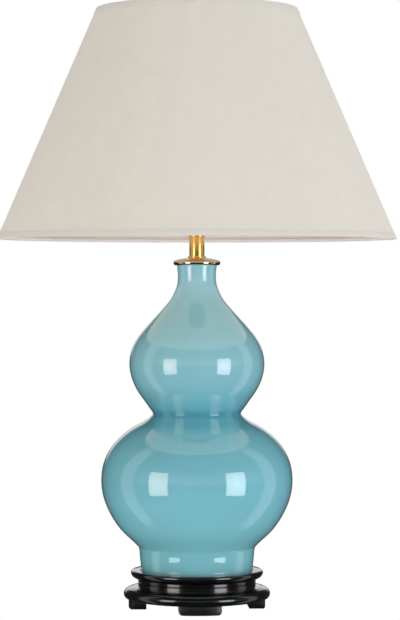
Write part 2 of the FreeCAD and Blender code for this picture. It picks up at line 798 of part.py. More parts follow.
# ---------------------------------------------------------------- bulb
def make_bulb():
    turned(
        "bulb_tip", BULB_BASE,
        [("0", "0"), ("0.6*bulb_tip_radius", "0"), ("bulb_tip_radius", "bulb_tip_height"),
         ("0", "bulb_tip_height")],
    )
    turned(
        "bulb_cap_insulator", f"{BULB_BASE} + bulb_tip_height",
        [("0", "0"), ("bulb_tip_radius + bulb_button_rim", "0"),
         ("bulb_cap_radius - 1.5*bulb_cap_wall", "bulb_button"),
         ("0", "bulb_button")],
    )
    ring("bulb_cap", f"{BULB_BASE} + bulb_tip_height + bulb_button", "bulb_cap_radius - bulb_cap_wall",
         "bulb_cap_radius", "bulb_cap_height")
    shoulder = 0.5 * math.sqrt(3)
    turned(
        "bulb_glass", GLASS_BASE,
        [("glass_neck_radius - glass_wall", "0"), ("glass_neck_radius", "0"),
         (f"{shoulder}*glass_radius", "glass_height - 1.5*glass_radius"), ("0", "glass_height"),
         ("0", "glass_height - glass_wall"),
         (f"{shoulder}*glass_radius - {shoulder}*glass_wall",
          "glass_height - 1.5*glass_radius + 0.5*glass_wall")],
        {2: ("glass_radius", "glass_height - glass_radius"),
         4: ("glass_radius - glass_wall", "glass_height - glass_radius")},
    )
    base = "glass_neck_radius - glass_wall - snug"
    turned(
        "bulb_stem", GLASS_BASE,
        [("0", "0"), (base, "0"), (base, "stem_foot"), ("stem_radius", "stem_flare"),
         ("0.4*stem_radius", "stem_height"), ("0", "stem_height")],
    )


# ---------------------------------------------------------------- shade
SLOPE = (worth("shade_bottom_radius") - worth("shade_top_radius")) / worth("shade_height")


def cone_ring(label, outer_offset, thick, low, high):
    """A band of the shade's cone between two heights, outer_offset in from the fabric's face."""
    def radius(height):
        return worth("shade_bottom_radius") - SLOPE * height - outer_offset

    lean = math.sqrt(1 + SLOPE * SLOPE)
    wide = thick * lean
    outer = Part.makeCone(radius(low), radius(high), high - low)
    inner = Part.makeCone(radius(low) - wide, radius(high) - wide, high - low)
    band = doc.addObject("Part::Feature", "band_" + label)
    band.Shape = outer.cut(inner)
    band.Placement.Base = Vector(0, 0, worth("shade_bottom") + low)
    return keep(band, label)


def make_shade():
    lean = math.sqrt(1 + SLOPE * SLOPE)
    cover = worth("cover_thick")
    liner = worth("liner_thick")
    snug = worth("snug")
    height = worth("shade_height")
    inset = worth("wire_inset")
    wire = worth("frame_wire")
    cone_ring("shade_cover", 0.0, cover, 0.0, height)
    cone_ring("shade_liner", cover * lean, liner, 0.0, height)
    trim = worth("trim_thick")
    band = worth("trim_height")
    cone_ring("shade_bottom_trim", -trim * lean, trim, 0.0, band)
    cone_ring("shade_top_trim", -trim * lean, trim, height - band, height)
    for name, up in (("bottom", inset), ("top", height - inset)):
        face = worth("shade_bottom_radius") - SLOPE * up - (cover + liner) * lean
        hoop_radius = face - (wire + snug) * lean
        section = Part.makePolygon([
            Vector(hoop_radius + wire * math.cos(math.radians(45 * step)), 0,
                   worth("shade_bottom") + up + wire * math.sin(math.radians(45 * step)))
            for step in range(9)
        ])
        hoop = doc.addObject("Part::Feature", f"hoop_{name}")
        hoop.Shape = Part.Face(section).revolve(Vector(0, 0, 0), Vector(0, 0, 1), 360)
        keep(hoop, f"shade_{name}_wire")
    hoop_level = worth("shade_bottom") + up
    fitter_inner = "carrier_radius - 0.5*gallery_width + gallery_wall + fitter_fit"
    ring("shade_fitter_ring", FITTER_BASE, fitter_inner, f"{fitter_inner} + fitter_width",
         "fitter_thick")
    spoke = worth("spoke_radius")
    inner_end = worth(f"{fitter_inner} + fitter_width") + worth("spoke_gap") + 0.3 * spoke
    outer_end = hoop_radius - wire - worth("spoke_gap") - 0.3 * spoke
    low = worth(FITTER_BASE) + 0.5 * worth("fitter_thick")
    high = hoop_level
    start = Vector(inner_end, 0, low)
    reach = Vector(outer_end, 0, high) - start
    spokes = []
    for number in range(SHADE_SPOKES):
        arm = Part.makeCylinder(spoke, reach.Length, start, reach)
        arm.rotate(Vector(0, 0, 0), Vector(0, 0, 1), 90 + 360 * number / SHADE_SPOKES)
        spokes.append(arm)
    feature = doc.addObject("Part::Feature", "spoke_set")
    feature.Shape = Part.Compound(spokes)
    keep(feature, "shade_spokes")


# ---------------------------------------------------------------- build, check and write
make_feet()
make_stand()
make_cord_bush()
make_vase()
make_rod()
make_cap()
make_lampholder()
make_switch()
make_shade_rings()
make_carrier()
make_bulb()
make_shade()
doc.recompute()
for thing in doc.Objects:
    if "Invalid" in thing.State or "Error" in thing.State:
        raise ValueError(f"{thing.Name} ({thing.Label}) failed: {thing.State}")
for piece in pieces:
    if piece.Shape.isNull() or not piece.Shape.isValid() or not piece.Shape.Solids:
        raise ValueError(f"{piece.Label} has no valid solid")
os.makedirs("parts", exist_ok=True)
for piece in pieces:
    piece.Shape.exportStep(f"parts/{piece.Label}.step")
print(len(pieces), "sub-parts written")
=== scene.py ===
import math
import bmesh
import bpy
import numpy as np
from mathutils import Matrix, Vector


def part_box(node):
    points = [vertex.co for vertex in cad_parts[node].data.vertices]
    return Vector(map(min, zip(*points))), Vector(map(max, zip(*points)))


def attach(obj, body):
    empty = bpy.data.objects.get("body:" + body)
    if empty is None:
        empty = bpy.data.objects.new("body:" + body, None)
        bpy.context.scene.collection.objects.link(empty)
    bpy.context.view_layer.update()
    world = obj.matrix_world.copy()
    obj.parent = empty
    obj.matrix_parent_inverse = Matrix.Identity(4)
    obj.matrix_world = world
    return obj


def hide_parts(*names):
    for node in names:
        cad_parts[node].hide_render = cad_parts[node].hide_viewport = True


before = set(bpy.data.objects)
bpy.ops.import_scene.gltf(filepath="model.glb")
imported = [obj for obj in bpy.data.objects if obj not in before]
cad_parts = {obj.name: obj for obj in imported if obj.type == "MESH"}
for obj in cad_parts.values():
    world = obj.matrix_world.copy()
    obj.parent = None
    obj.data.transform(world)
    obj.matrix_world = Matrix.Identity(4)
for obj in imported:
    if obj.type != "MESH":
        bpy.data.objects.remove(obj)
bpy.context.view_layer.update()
MM = 0.001

# ---------------------------------------------------------------- camera
# The picture is 400 x 620. At the lamp's axis one pixel is 1.28 mm, the eye is at the height
# of pixel row 283 and the lamp's axis falls a little left of the middle.
PIXEL = 1.28 * MM
VIEW_HEIGHT_PX = 620
DISTANCE_PX = 2400
EYE_ROW = 283
FLOOR_ROW = 607.3
MIDDLE_ROW = 310
AXIS_LEFT_OF_MIDDLE_PX = 3.1
STAND_TURN = math.radians(3)
LENS_HEIGHT = 36.0

away = DISTANCE_PX * PIXEL
eye = Vector((-math.sin(STAND_TURN) * away, -math.cos(STAND_TURN) * away,
              (FLOOR_ROW - EYE_ROW) * PIXEL))
rightwards = Vector((math.cos(STAND_TURN), -math.sin(STAND_TURN), 0))
target = Vector((0, 0, (FLOOR_ROW - MIDDLE_ROW) * PIXEL))
target += rightwards * AXIS_LEFT_OF_MIDDLE_PX * PIXEL
camera_data = bpy.data.cameras.new("photo_camera")
camera_data.sensor_fit = "VERTICAL"
camera_data.sensor_height = LENS_HEIGHT
camera_data.lens = LENS_HEIGHT * DISTANCE_PX / VIEW_HEIGHT_PX
camera_data.clip_end = 50
camera = bpy.data.objects.new("photo_camera", camera_data)
camera.location = eye
camera.rotation_euler = (target - eye).to_track_quat("-Z", "Y").to_euler()
bpy.context.scene.collection.objects.link(camera)
bpy.context.scene.camera = camera
bpy.context.scene.view_settings.view_transform = "Standard"


# ---------------------------------------------------------------- studio
# Two upright soft boxes stand in front to the left and right and reach below the table's height,
# with a white panel on each side and a white backdrop. Behind the camera is a dim wall and below it
# the dark, which keeps the lacquer black. Light that falls on matt surfaces comes from all round.
def colour(hex_code):
    """An sRGB hex colour as linear red, green, blue and alpha."""
    parts = [int(hex_code[place:place + 2], 16) / 255 for place in (1, 3, 5)]
    return [part / 12.92 if part <= 0.04045 else ((part + 0.055) / 1.055) ** 2.4
            for part in parts] + [1.0]


def add_node(tree, kind, settings=None, links=None, **values):
    """Adds one shader node. links maps an input's name or number to an output socket."""
    node = tree.nodes.new(kind)
    for name, value in (settings or {}).items():
        setattr(node, name, value)
    for name, value in values.items():
        node.inputs[name.replace("_", " ")].default_value = value
    for name, socket in (links or {}).items():
        tree.links.new(socket, node.inputs[name])
    return node


def add_ramp(tree, factor, stops):
    """A colour ramp: stops are pairs of position and colour."""
    ramp = add_node(tree, "ShaderNodeValToRGB", links={"Fac": factor})
    while len(ramp.color_ramp.elements) < len(stops):
        ramp.color_ramp.elements.new(0.5)
    for element, (position, shade) in zip(ramp.color_ramp.elements, stops):
        element.position = position
        element.color = shade
    return ramp


def add_math(tree, operation, first, second=None):
    """Works on one or two values; the second is a socket or a number."""
    node = add_node(tree, "ShaderNodeMath", {"operation": operation}, {0: first})
    if isinstance(second, (int, float)):
        node.inputs[1].default_value = second
    elif second:
        tree.links.new(second, node.inputs[1])
    return node.outputs[0]


def add_step(tree, value, start, end):
    """0 at start and 1 at end, with a soft change between them. start may be above end."""
    low, high = (0.0, 1.0) if start < end else (1.0, 0.0)
    return add_node(tree, "ShaderNodeMapRange", {"interpolation_type": "SMOOTHSTEP"},
                    {"Value": value}, From_Min=min(start, end), From_Max=max(start, end),
                    To_Min=low, To_Max=high).outputs[0]


def grey(level):
    return (level, level, level, 1.0)


def stage_object(name, form, material):
    mesh = bpy.data.meshes.new(name)
    form.to_mesh(mesh)
    form.free()
    mesh.materials.append(material)
    thing = bpy.data.objects.new(name, mesh)
    bpy.context.scene.collection.objects.link(thing)
    return thing


def soft_box(name, azimuth, distance, width, low, high, strength, tint):
    """A glowing upright panel that faces the lamp. Azimuth 0 is the camera's side."""
    material = bpy.data.materials.new(name)
    material.use_nodes = True
    tree = material.node_tree
    tree.nodes.clear()
    where = add_node(tree, "ShaderNodeTexCoord")
    from_middle = add_node(tree, "ShaderNodeVectorMath", {"operation": "LENGTH"},
                           {0: where.outputs["Object"]})
    fall = add_node(tree, "ShaderNodeMapRange", links={"Value": from_middle.outputs["Value"]},
                    From_Max=high - low, To_Min=1.3 * strength, To_Max=0.45 * strength)
    glow = add_node(tree, "ShaderNodeEmission", links={"Strength": fall.outputs[0]})
    glow.inputs["Color"].default_value = colour(tint)
    add_node(tree, "ShaderNodeOutputMaterial", links={"Surface": glow.outputs[0]})
    form = bmesh.new()
    half_wide, half_high = width / 2, (high - low) / 2
    form.faces.new([form.verts.new((x, y, 0)) for x, y in (
        (-half_wide, -half_high), (half_wide, -half_high),
        (half_wide, half_high), (-half_wide, half_high))])
    panel = stage_object(name, form, material)
    turn = math.radians(azimuth)
    panel.location = (math.sin(turn) * distance, -math.cos(turn) * distance, (low + high) / 2)
    panel.rotation_euler = (math.radians(90), 0, turn)


BOX_DISTANCE = 1.9
BOX_LOW, BOX_HIGH = -0.46, 0.84
soft_box("left_soft_box", -49, BOX_DISTANCE, 0.80, BOX_LOW, BOX_HIGH, 3.3, "#fff3ea")
soft_box("right_soft_box", 43.5, BOX_DISTANCE, 0.82, BOX_LOW, BOX_HIGH, 3.9, "#f6f7ff")

AMBIENT = 0.72
AMBIENT_SIDEWAYS = 0.17
BACKDROP = 0.8
BACKDROP_EDGE = (0.9, 0.98)
TABLE_EDGE = (0.02, 0.08)
SIDE_PANEL = 0.55
PANEL_BEHIND = 0.1
PANEL_SIDE_EDGE = (0.24, 0.14)
PANEL_TOP_EDGE = (0.88, 0.7)
DARK_ROOM = 0.03
FRONT_WALL = 0.42
FRONT_WALL_SIDE_EDGE = (0.1, -0.5)
FRONT_WALL_FOOT = (-0.06, 0.06)
FRONT_WALL_TOP = (0.5, 0.02)
world = bpy.data.worlds.new("studio_room")
bpy.context.scene.world = world
world.use_nodes = True
room = world.node_tree
room.nodes.clear()
direction = add_node(room, "ShaderNodeTexCoord")
split = add_node(room, "ShaderNodeSeparateXYZ", links={0: direction.outputs["Generated"]})
rightward, backward, upward = (split.outputs[axis] for axis in "XYZ")
ambient = add_math(room, "ADD", add_math(room, "MULTIPLY", rightward, AMBIENT_SIDEWAYS), AMBIENT)
backdrop = add_math(room, "MULTIPLY", add_step(room, backward, *BACKDROP_EDGE),
                    add_step(room, upward, *TABLE_EDGE))
behind_side = add_math(room, "DIVIDE", backward, add_math(room, "ABSOLUTE", rightward))
from_panel = add_math(room, "ABSOLUTE", add_math(room, "SUBTRACT", behind_side, PANEL_BEHIND))
panels = add_math(room, "MULTIPLY", add_step(room, from_panel, *PANEL_SIDE_EDGE),
                  add_step(room, add_math(room, "ABSOLUTE", upward), *PANEL_TOP_EDGE))
front_wall = add_math(room, "MULTIPLY", add_step(room, backward, *FRONT_WALL_SIDE_EDGE),
                      add_math(room, "MULTIPLY", add_step(room, upward, *FRONT_WALL_FOOT),
                               add_step(room, upward, *FRONT_WALL_TOP)))
mirrored = add_math(room, "ADD", add_math(room, "MULTIPLY", backdrop, BACKDROP), DARK_ROOM)
for part, brightness in ((panels, SIDE_PANEL), (front_wall, FRONT_WALL)):
    mirrored = add_math(room, "ADD", mirrored, add_math(room, "MULTIPLY", part, brightness))
path = add_node(room, "ShaderNodeLightPath")
strength = add_node(room, "ShaderNodeMix", {"data_type": "FLOAT"}, {
    0: path.outputs["Is Glossy Ray"], 2: ambient, 3: mirrored})
lit_room = add_node(room, "ShaderNodeBackground", links={"Strength": strength.outputs[0]})
white_room = add_node(room, "ShaderNodeBackground", Strength=1.0)
lit_room.inputs["Color"].default_value = grey(1)
white_room.inputs["Color"].default_value = grey(1)
seen = add_node(room, "ShaderNodeMixShader", links={
    0: path.outputs["Is Camera Ray"], 1: lit_room.outputs[0], 2: white_room.outputs[0]})
add_node(room, "ShaderNodeOutputWorld", links={"Surface": seen.outputs[0]})

FLOOR_RADIUS = 6.0
floor_paint = bpy.data.materials.new("white_floor")
floor_paint.use_nodes = True
tree = floor_paint.node_tree
tree.nodes.clear()
paper_white = add_node(tree, "ShaderNodeEmission", Strength=1.0)
add_node(tree, "ShaderNodeOutputMaterial", links={"Surface": paper_white.outputs[0]})
floor_form = bmesh.new()
bmesh.ops.create_circle(floor_form, cap_ends=True, segments=64, radius=FLOOR_RADIUS)
stage_object("studio_floor", floor_form, floor_paint).visible_glossy = False


# ---------------------------------------------------------------- wooden stand
# The stand is turned hardwood in three stacked rings, black lacquered and rubbed to a gloss:
# a bulged apron on four feet, a grooved waist, and a board whose rim holds the vase. The lacquer
# is smooth enough to mirror the lamps, over a grain that breaks their edges.
def finish_material(name, hex_code, roughness, metallic=0.0, ior=None):
    """A principled material and its tree; its colour and gloss are set on the shader itself."""
    material = bpy.data.materials.new(name)
    material.use_nodes = True
    shader = material.node_tree.nodes["Principled BSDF"]
    shader.inputs["Base Color"].default_value = colour(hex_code)
    shader.inputs["Roughness"].default_value = roughness
    shader.inputs["Metallic"].default_value = metallic
    if ior:
        shader.inputs["IOR"].default_value = ior
    return material, material.node_tree, shader


def stretched_place(tree, scale):
    """Object coordinates, scaled to a pattern's real size in repeats per metre."""
    where = add_node(tree, "ShaderNodeTexCoord")
    mapped = add_node(tree, "ShaderNodeMapping", links={"Vector": where.outputs["Object"]})
    mapped.inputs["Scale"].default_value = scale
    return mapped.outputs[0]


def add_noise(tree, scale, **values):
    """Cloudy noise between 0 and 1, its scale in clouds per metre along x, y and z."""
    return add_node(tree, "ShaderNodeTexNoise", links={"Vector": stretched_place(tree, scale)},
                    Scale=1.0, **values).outputs["Fac"]


def add_bump(tree, shader, height, strength, distance):
    bump = add_node(tree, "ShaderNodeBump", links={"Height": height},
                    Strength=strength, Distance=distance)
    tree.links.new(bump.outputs[0], shader.inputs["Normal"])


def lacquered_wood(name, hex_code, roughness, gloss, grain_scale, grain_depth):
    """Black lacquer on hardwood: grain_scale is in grains per metre along x, y and z."""
    material, tree, shader = finish_material(name, hex_code, roughness, ior=1.5)
    shader.inputs["Coat Weight"].default_value = gloss
    shader.inputs["Coat Roughness"].default_value = 0.08
    grain = add_noise(tree, grain_scale, Detail=4.0, Roughness=0.6)
    tint = add_ramp(tree, grain, [
        (position, [part * share for part in colour(hex_code)[:3]] + [1])
        for position, share in ((0.35, 0.55), (0.62, 1), (0.75, 2.2))])
    tree.links.new(tint.outputs[0], shader.inputs["Base Color"])
    dull = add_node(tree, "ShaderNodeMapRange", links={"Value": grain},
                    From_Min=0.3, From_Max=0.7, To_Min=roughness * 0.8, To_Max=roughness * 1.25)
    tree.links.new(dull.outputs[0], shader.inputs["Roughness"])
    add_bump(tree, shader, grain, 0.35, grain_depth)
    return material


def rounded(points, roundings, steps=5):
    """The outline with corners cut to arcs. roundings maps a corner's number to its radius."""
    smooth = []
    for number, corner in enumerate(points):
        radius = roundings.get(number)
        if not radius:
            smooth.append(corner)
            continue
        here = Vector(corner)
        back = (Vector(points[number - 1]) - here).normalized()
        on = (Vector(points[(number + 1) % len(points)]) - here).normalized()
        half = back.angle(on) / 2
        first = here + back * radius / math.tan(half)
        last = here + on * radius / math.tan(half)
        centre = here + (back + on).normalized() * radius / math.sin(half)
        for step in range(steps + 1):
            point = first.lerp(last, step / steps)
            point = centre + (point - centre).normalized() * radius
            smooth.append((point.x, point.y))
    return smooth


def smooth_run(points, per_span):
    """A natural cubic spline through the points, with its bends as even as a turner's."""
    knots = np.array(points, float)
    gaps = np.linalg.norm(np.diff(knots, axis=0), axis=1)
    count = len(knots)
    system = np.eye(count)
    right = np.zeros_like(knots)
    for row in range(1, count - 1):
        system[row, row - 1:row + 2] = (
            gaps[row - 1], 2 * (gaps[row - 1] + gaps[row]), gaps[row])
        right[row] = 6 * ((knots[row + 1] - knots[row]) / gaps[row]
                          - (knots[row] - knots[row - 1]) / gaps[row - 1])
    bends = np.linalg.solve(system, right)
    run = []
    for span, gap in enumerate(gaps):
        for step in range(per_span + (span == count - 2)):
            along = gap * step / per_span
            left = gap - along
            run.append(tuple(
                (bends[span] * left ** 3 + bends[span + 1] * along ** 3) / (6 * gap)
                + (knots[span] / gap - bends[span] * gap / 6) * left
                + (knots[span + 1] / gap - bends[span + 1] * gap / 6) * along))
    return run


def new_piece(name, form, body, material, slot, *nodes):
    """Makes the object, shades it smooth between its real edges, hangs it on its body and hides the
    parts it stands in for.
    """
    mesh = bpy.data.meshes.new(name)
    form.to_mesh(mesh)
    form.free()
    piece = bpy.data.objects.new(name, mesh)
    bpy.context.scene.collection.objects.link(piece)
    mesh.materials.append(material)
    mesh.polygons.foreach_set("use_smooth", [True] * len(mesh.polygons))
    mesh.set_sharp_from_angle(angle=math.radians(32))
    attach(piece, body)
    if nodes:
        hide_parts(*nodes)
    return piece


def spun(points, steps=128):
    """A closed outline (radius, height) in millimetres, spun about the lamp's axis."""
    form = bmesh.new()
    corners = [form.verts.new((radius * MM, 0, height * MM)) for radius, height in points]
    edges = [form.edges.new((corner, corners[(number + 1) % len(corners)]))
             for number, corner in enumerate(corners)]
    bmesh.ops.spin(form, geom=corners + edges, cent=(0, 0, 0), axis=(0, 0, 1),
                   angle=math.tau, steps=steps, use_merge=True)
    bmesh.ops.remove_doubles(form, verts=form.verts, dist=1e-7)
    bmesh.ops.recalc_face_normals(form, faces=form.faces)
    return form


def base_of(node):
    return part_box(node)[0].z / MM


def top_of(node):
    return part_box(node)[1].z / MM


RING_GRAIN = (60, 60, 420)
gloss_lacquer = lacquered_wood("black_gloss_lacquer", "#090909", 0.2, 1.0, RING_GRAIN, 0.00008)
HOLLOW_RADIUS = 61
WAIST_RADIUS = 75.4

apron_low = base_of("stand_apron")
apron_high = top_of("stand_apron")
apron_curve = smooth_run([(87.2, apron_low), (91.4, apron_low + 1.5), (93.3, apron_low + 4.2),
                          (93.75, apron_low + 7), (92.6, apron_low + 10.2),
                          (89.3, apron_low + 13.2), (84.6, apron_high - 0.8),
                          (81.5, apron_high)], 4)
apron_outline = [(HOLLOW_RADIUS, apron_low)] + apron_curve + [(HOLLOW_RADIUS, apron_high)]
new_piece("turned_apron", spun(apron_outline), "root", gloss_lacquer, "lacquered_wood",
          "stand_apron")

waist_low = base_of("stand_waist")
waist_high = top_of("stand_waist")
GROOVE = 0.9
groove_level = waist_low + 6.2
waist_outline = rounded(
    [(HOLLOW_RADIUS, waist_low), (WAIST_RADIUS, waist_low), (WAIST_RADIUS, groove_level - GROOVE),
     (WAIST_RADIUS - GROOVE, groove_level), (WAIST_RADIUS, groove_level + GROOVE),
     (WAIST_RADIUS, waist_high), (HOLLOW_RADIUS, waist_high)],
    {2: 0.3, 3: 0.25, 4: 0.3})
BUSH_HOLE_RADIUS = 4.3
BUSH_LEVEL = 32
DRILL_LENGTH = 40


def drilled(form, radius, level):
    """Drills a round hole from the back, along Y, through the ring's wall at that level."""
    place = Matrix.Translation((0, WAIST_RADIUS * MM, level * MM)) @ Matrix.Rotation(
        math.radians(90), 4, "X")
    drill_form = bmesh.new()
    bmesh.ops.create_cone(drill_form, cap_ends=True, segments=48, radius1=radius * MM,
                          radius2=radius * MM, depth=DRILL_LENGTH * MM, matrix=place)
    things = []
    for name, shape in (("ring", form), ("drill", drill_form)):
        mesh = bpy.data.meshes.new(name)
        shape.to_mesh(mesh)
        shape.free()
        things.append(bpy.data.objects.new(name, mesh))
        bpy.context.scene.collection.objects.link(things[-1])
    ring, drill = things
    hole = ring.modifiers.new("flex_hole", "BOOLEAN")
    hole.operation = "DIFFERENCE"
    hole.solver = "EXACT"
    hole.object = drill
    bpy.context.view_layer.update()
    cut = ring.evaluated_get(bpy.context.evaluated_depsgraph_get()).to_mesh()
    drilled_form = bmesh.new()
    drilled_form.from_mesh(cut)
    for thing in things:
        bpy.data.objects.remove(thing)
    return drilled_form


new_piece("turned_waist", drilled(spun(waist_outline), BUSH_HOLE_RADIUS, BUSH_LEVEL), "root",
          gloss_lacquer, "lacquered_wood", "stand_waist")

board_low = base_of("stand_board")
board_high = top_of("stand_board")
RIM_RADIUS = 84.7
SEAT_RADIUS = 72.6
SEAT_DEPTH = 2
ROD_HOLE_RADIUS = 5.3
board_rim = smooth_run([(76.4, board_low), (80.4, board_low + 1.7), (83.3, board_low + 4.2),
                        (RIM_RADIUS - 0.1, board_low + 7.4), (84.1, board_low + 9.9),
                        (82.6, board_high)], 4)
board_outline = (
    [(ROD_HOLE_RADIUS, board_low)] + board_rim
    + [(SEAT_RADIUS + 0.4, board_high), (SEAT_RADIUS, board_high - 0.4),
       (SEAT_RADIUS, board_high - SEAT_DEPTH), (ROD_HOLE_RADIUS, board_high - SEAT_DEPTH)])
new_piece("turned_board", spun(board_outline), "root", gloss_lacquer, "lacquered_wood",
          "stand_board")

# The four feet are sawn from the same wood with the grain upright, lacquered thinly, and stand
# on glued felt discs.
FOOT_GRAIN = (900, 900, 45)
foot_lacquer = lacquered_wood("black_satin_lacquer", "#121112", 0.36, 0.25, FOOT_GRAIN, 0.00025)
FOOT_EDGE = 0.7 * MM


def merged_copy(node):
    """A welded copy of a plain piece, its flat faces joined, ready for its edges to be eased."""
    form = bmesh.new()
    form.from_mesh(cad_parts[node].data)
    bmesh.ops.remove_doubles(form, verts=form.verts, dist=1e-6)
    bmesh.ops.dissolve_limit(form, angle_limit=math.radians(1), verts=form.verts,
                             edges=form.edges)
    return form


def eased(form, width, limit=40, segments=3):
    """Rounds every edge that turns by more than limit degrees."""
    sharp = [edge for edge in form.edges
             if edge.is_manifold and edge.calc_face_angle() > math.radians(limit)]
    bmesh.ops.bevel(form, geom=sharp, affect="EDGES", offset=width, segments=segments,
                    profile=0.5, material=-1, clamp_overlap=True)
    return form


FOOT_FROM_FLOOR = 0.2 * MM
for side in ("front", "right", "back", "left"):
    foot_form = merged_copy(f"stand_foot_{side}")
    low, high = (corner.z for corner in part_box(f"stand_foot_{side}"))
    for corner in foot_form.verts:
        corner.co.z = high - (high - corner.co.z) * (high - FOOT_FROM_FLOOR) / (high - low)
    new_piece(f"sawn_foot_{side}", eased(foot_form, FOOT_EDGE), "root",
              foot_lacquer, "lacquered_wood", f"stand_foot_{side}")


def dress(material, *nodes):
    """Gives pieces that keep their engineered shape their real finish."""
    for node in nodes:
        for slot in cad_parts[node].material_slots:
            slot.material = material


def felt(name, hex_code):
    """Pressed wool or wrapped cotton: matte, with a fuzz about half a millimetre across."""
    material, tree, shader = finish_material(name, hex_code, 0.95)
    shader.inputs["Sheen Weight"].default_value = 0.4
    add_bump(tree, shader, add_noise(tree, (2000,) * 3, Detail=3.0), 0.6, 0.0002)
    return material


dress(felt("pressed_felt", "#17171a"), "foot_felts", "vase_seat_felt")


# ---------------------------------------------------------------- flex bush and plug
# Moulded black rubber: a flanged bush lines the flex's hole at the back of the waist, and a soft
# plug centres the brass cap in the vase's mouth.
def moulded_rubber():
    material, tree, shader = finish_material("moulded_rubber", "#1a1a1a", 0.62)
    add_bump(tree, shader, add_noise(tree, (1500,) * 3), 0.3, 0.0001)
    return material


dress(moulded_rubber(), "cord_bush", "neck_plug")


# ---------------------------------------------------------------- porcelain vase
# Slip-cast porcelain in one piece, dipped in a clear pale blue glaze and fired. The glaze is a
# glass: it mirrors the lamps sharply and lies paler where it runs thin on the lip. Its colour
# darkens slowly from the foot up to a broad darker band round the crease of the waist, which is
# partly glaze pooled there and partly painted shade, and grows paler towards the shoulders. The
# foot ring is wiped bare.
def celadon_glaze(low, high, crease):
    material, tree, shader = finish_material("celadon_glaze", "#76bac6", 0.05, ior=1.6)
    shader.inputs["Coat Weight"].default_value = 1.0
    shader.inputs["Coat Roughness"].default_value = 0.02
    shader.inputs["Subsurface Weight"].default_value = 0.08
    shader.inputs["Subsurface Scale"].default_value = 0.004
    where = add_node(tree, "ShaderNodeTexCoord")
    split = add_node(tree, "ShaderNodeSeparateXYZ", links={0: where.outputs["Object"]})
    height = add_node(tree, "ShaderNodeMapRange", links={"Value": split.outputs["Z"]},
                      From_Min=low * MM, From_Max=high * MM)
    at = (crease - low) / (high - low)
    # Colour by height: bare foot ring, slow darkening up to the crease, a darker band round the
    # crease that is partly pooled glaze and partly painted shade, paler shoulders and a palest lip.
    depth = add_ramp(tree, height.outputs[0], [
        (0.0, colour("#c9c2b2")), (0.0025, colour("#c9c2b2")), (0.004, colour("#82c0cb")),
        (0.06, colour("#7abdc6")), (0.25, colour("#78b9c6")), (at - 0.06, colour("#74b6c3")),
        (at - 0.012, colour("#5fa9ba")), (at, colour("#4e99ac")), (at + 0.02, colour("#66afbd")),
        (at + 0.10, colour("#82bcc8")), (0.80, colour("#90c6ce")), (0.992, colour("#92c9d7")),
        (1.0, colour("#d3ecf1"))])
    cloud = add_noise(tree, (9, 9, 14), Detail=3.0, Roughness=0.55)
    drift = add_node(tree, "ShaderNodeMapRange", links={"Value": cloud},
                     From_Min=0.3, From_Max=0.7, To_Min=0.95, To_Max=1.05)
    mottled = add_node(tree, "ShaderNodeHueSaturation", links={
        "Color": depth.outputs[0], "Value": drift.outputs[0]})
    tree.links.new(mottled.outputs[0], shader.inputs["Base Color"])
    bare = add_node(tree, "ShaderNodeMapRange", links={"Value": height.outputs[0]},
                    From_Min=0.0025, From_Max=0.004, To_Min=0.7, To_Max=0.05)
    tree.links.new(bare.outputs[0], shader.inputs["Roughness"])
    add_bump(tree, shader, add_noise(tree, (45,) * 3, Detail=1.0), 0.06, 0.0006)
    return material


VASE_WALL = 5.5
vase_low = base_of("vase")
vase_high = top_of("vase")
CREASE_LEVEL = 201.2
FOOT_RING_WIDTH = 9
FOOT_RING_DEPTH = 4
ROD_PASSAGE = 6.2
MOUTH_RADIUS = 18.5
foot_column = [(71.3, 1.2), (72.3, 11), (73.2, 20.5), (73.8, 27), (74.5, 30.4)]
gourd = [
    (74.5, 30.4), (79.6, 35.8), (86.2, 41.9), (94.3, 49.6), (103.6, 61), (111.9, 75),
    (118.2, 89.8), (121.8, 105.5), (122.4, 118.5), (120.2, 135), (113.6, 151.4), (103.4, 165.6),
    (90.6, 177.4), (77.6, 186), (65.2, 192.8), (60, 196.7), (57.4, 199.3),
    (56.3, CREASE_LEVEL), (57, 203.2), (59.6, 206.8),
    (67.4, 217.8), (75.6, 229.4), (82.1, 242.6), (85.7, 256), (86.4, 267), (84.2, 280),
    (79.3, 292.4), (71.6, 304), (61.9, 315.4), (51.9, 326.4), (42.3, 337), (34, 347.2),
    (28.6, 357), (25.3, 366.6), (24.3, 376.6), (24.9, 386), (25.6, 391),
]
outside = smooth_run(foot_column, 3)[:-1] + smooth_run(gourd, 4)
inside = smooth_run([(60, FOOT_RING_DEPTH + VASE_WALL), (68.4, 33.1), (88.8, 51), (116.9, 116.6),
                     (85.1, 174), (49.6, CREASE_LEVEL), (75, 240), (80.9, 266.4), (60.9, 309),
                     (25.9, 351), (MOUTH_RADIUS, 376.6)], 6)
FOOT_RING_RADIUS = 71.2
inner_foot = FOOT_RING_RADIUS - FOOT_RING_WIDTH
vase_outline = (
    [(inner_foot, 0.6), (inner_foot + 0.6, 0), (70.3, 0), (71.0, 0.4)] + outside
    + [(25.3, 391.8), (24.4, 392), (19.4, 392), (MOUTH_RADIUS, 391.2)] + inside[::-1]
    + [(ROD_PASSAGE, FOOT_RING_DEPTH + VASE_WALL), (ROD_PASSAGE, FOOT_RING_DEPTH),
       (inner_foot - 0.8, FOOT_RING_DEPTH)])
vase_outline = [(radius, vase_low + height) for radius, height in vase_outline]
glaze = celadon_glaze(vase_low, vase_high, vase_low + CREASE_LEVEL)
new_piece("gourd_vase", spun(vase_outline, 144), "root", glaze, "glazed_porcelain", "vase")


# ---------------------------------------------------------------- rod and its fixings
# Zinc plated steel: a hollow threaded rod with a nut and a washer under the stand clamps the lamp.
def plated_steel():
    material, tree, shader = finish_material("zinc_plated_steel", "#b9bcc0", 0.35, metallic=1.0)
    add_bump(tree, shader, add_noise(tree, (300, 300, 2600)), 0.2, 0.00005)
    return material


dress(plated_steel(), "threaded_rod", "rod_washer", "rod_nut")


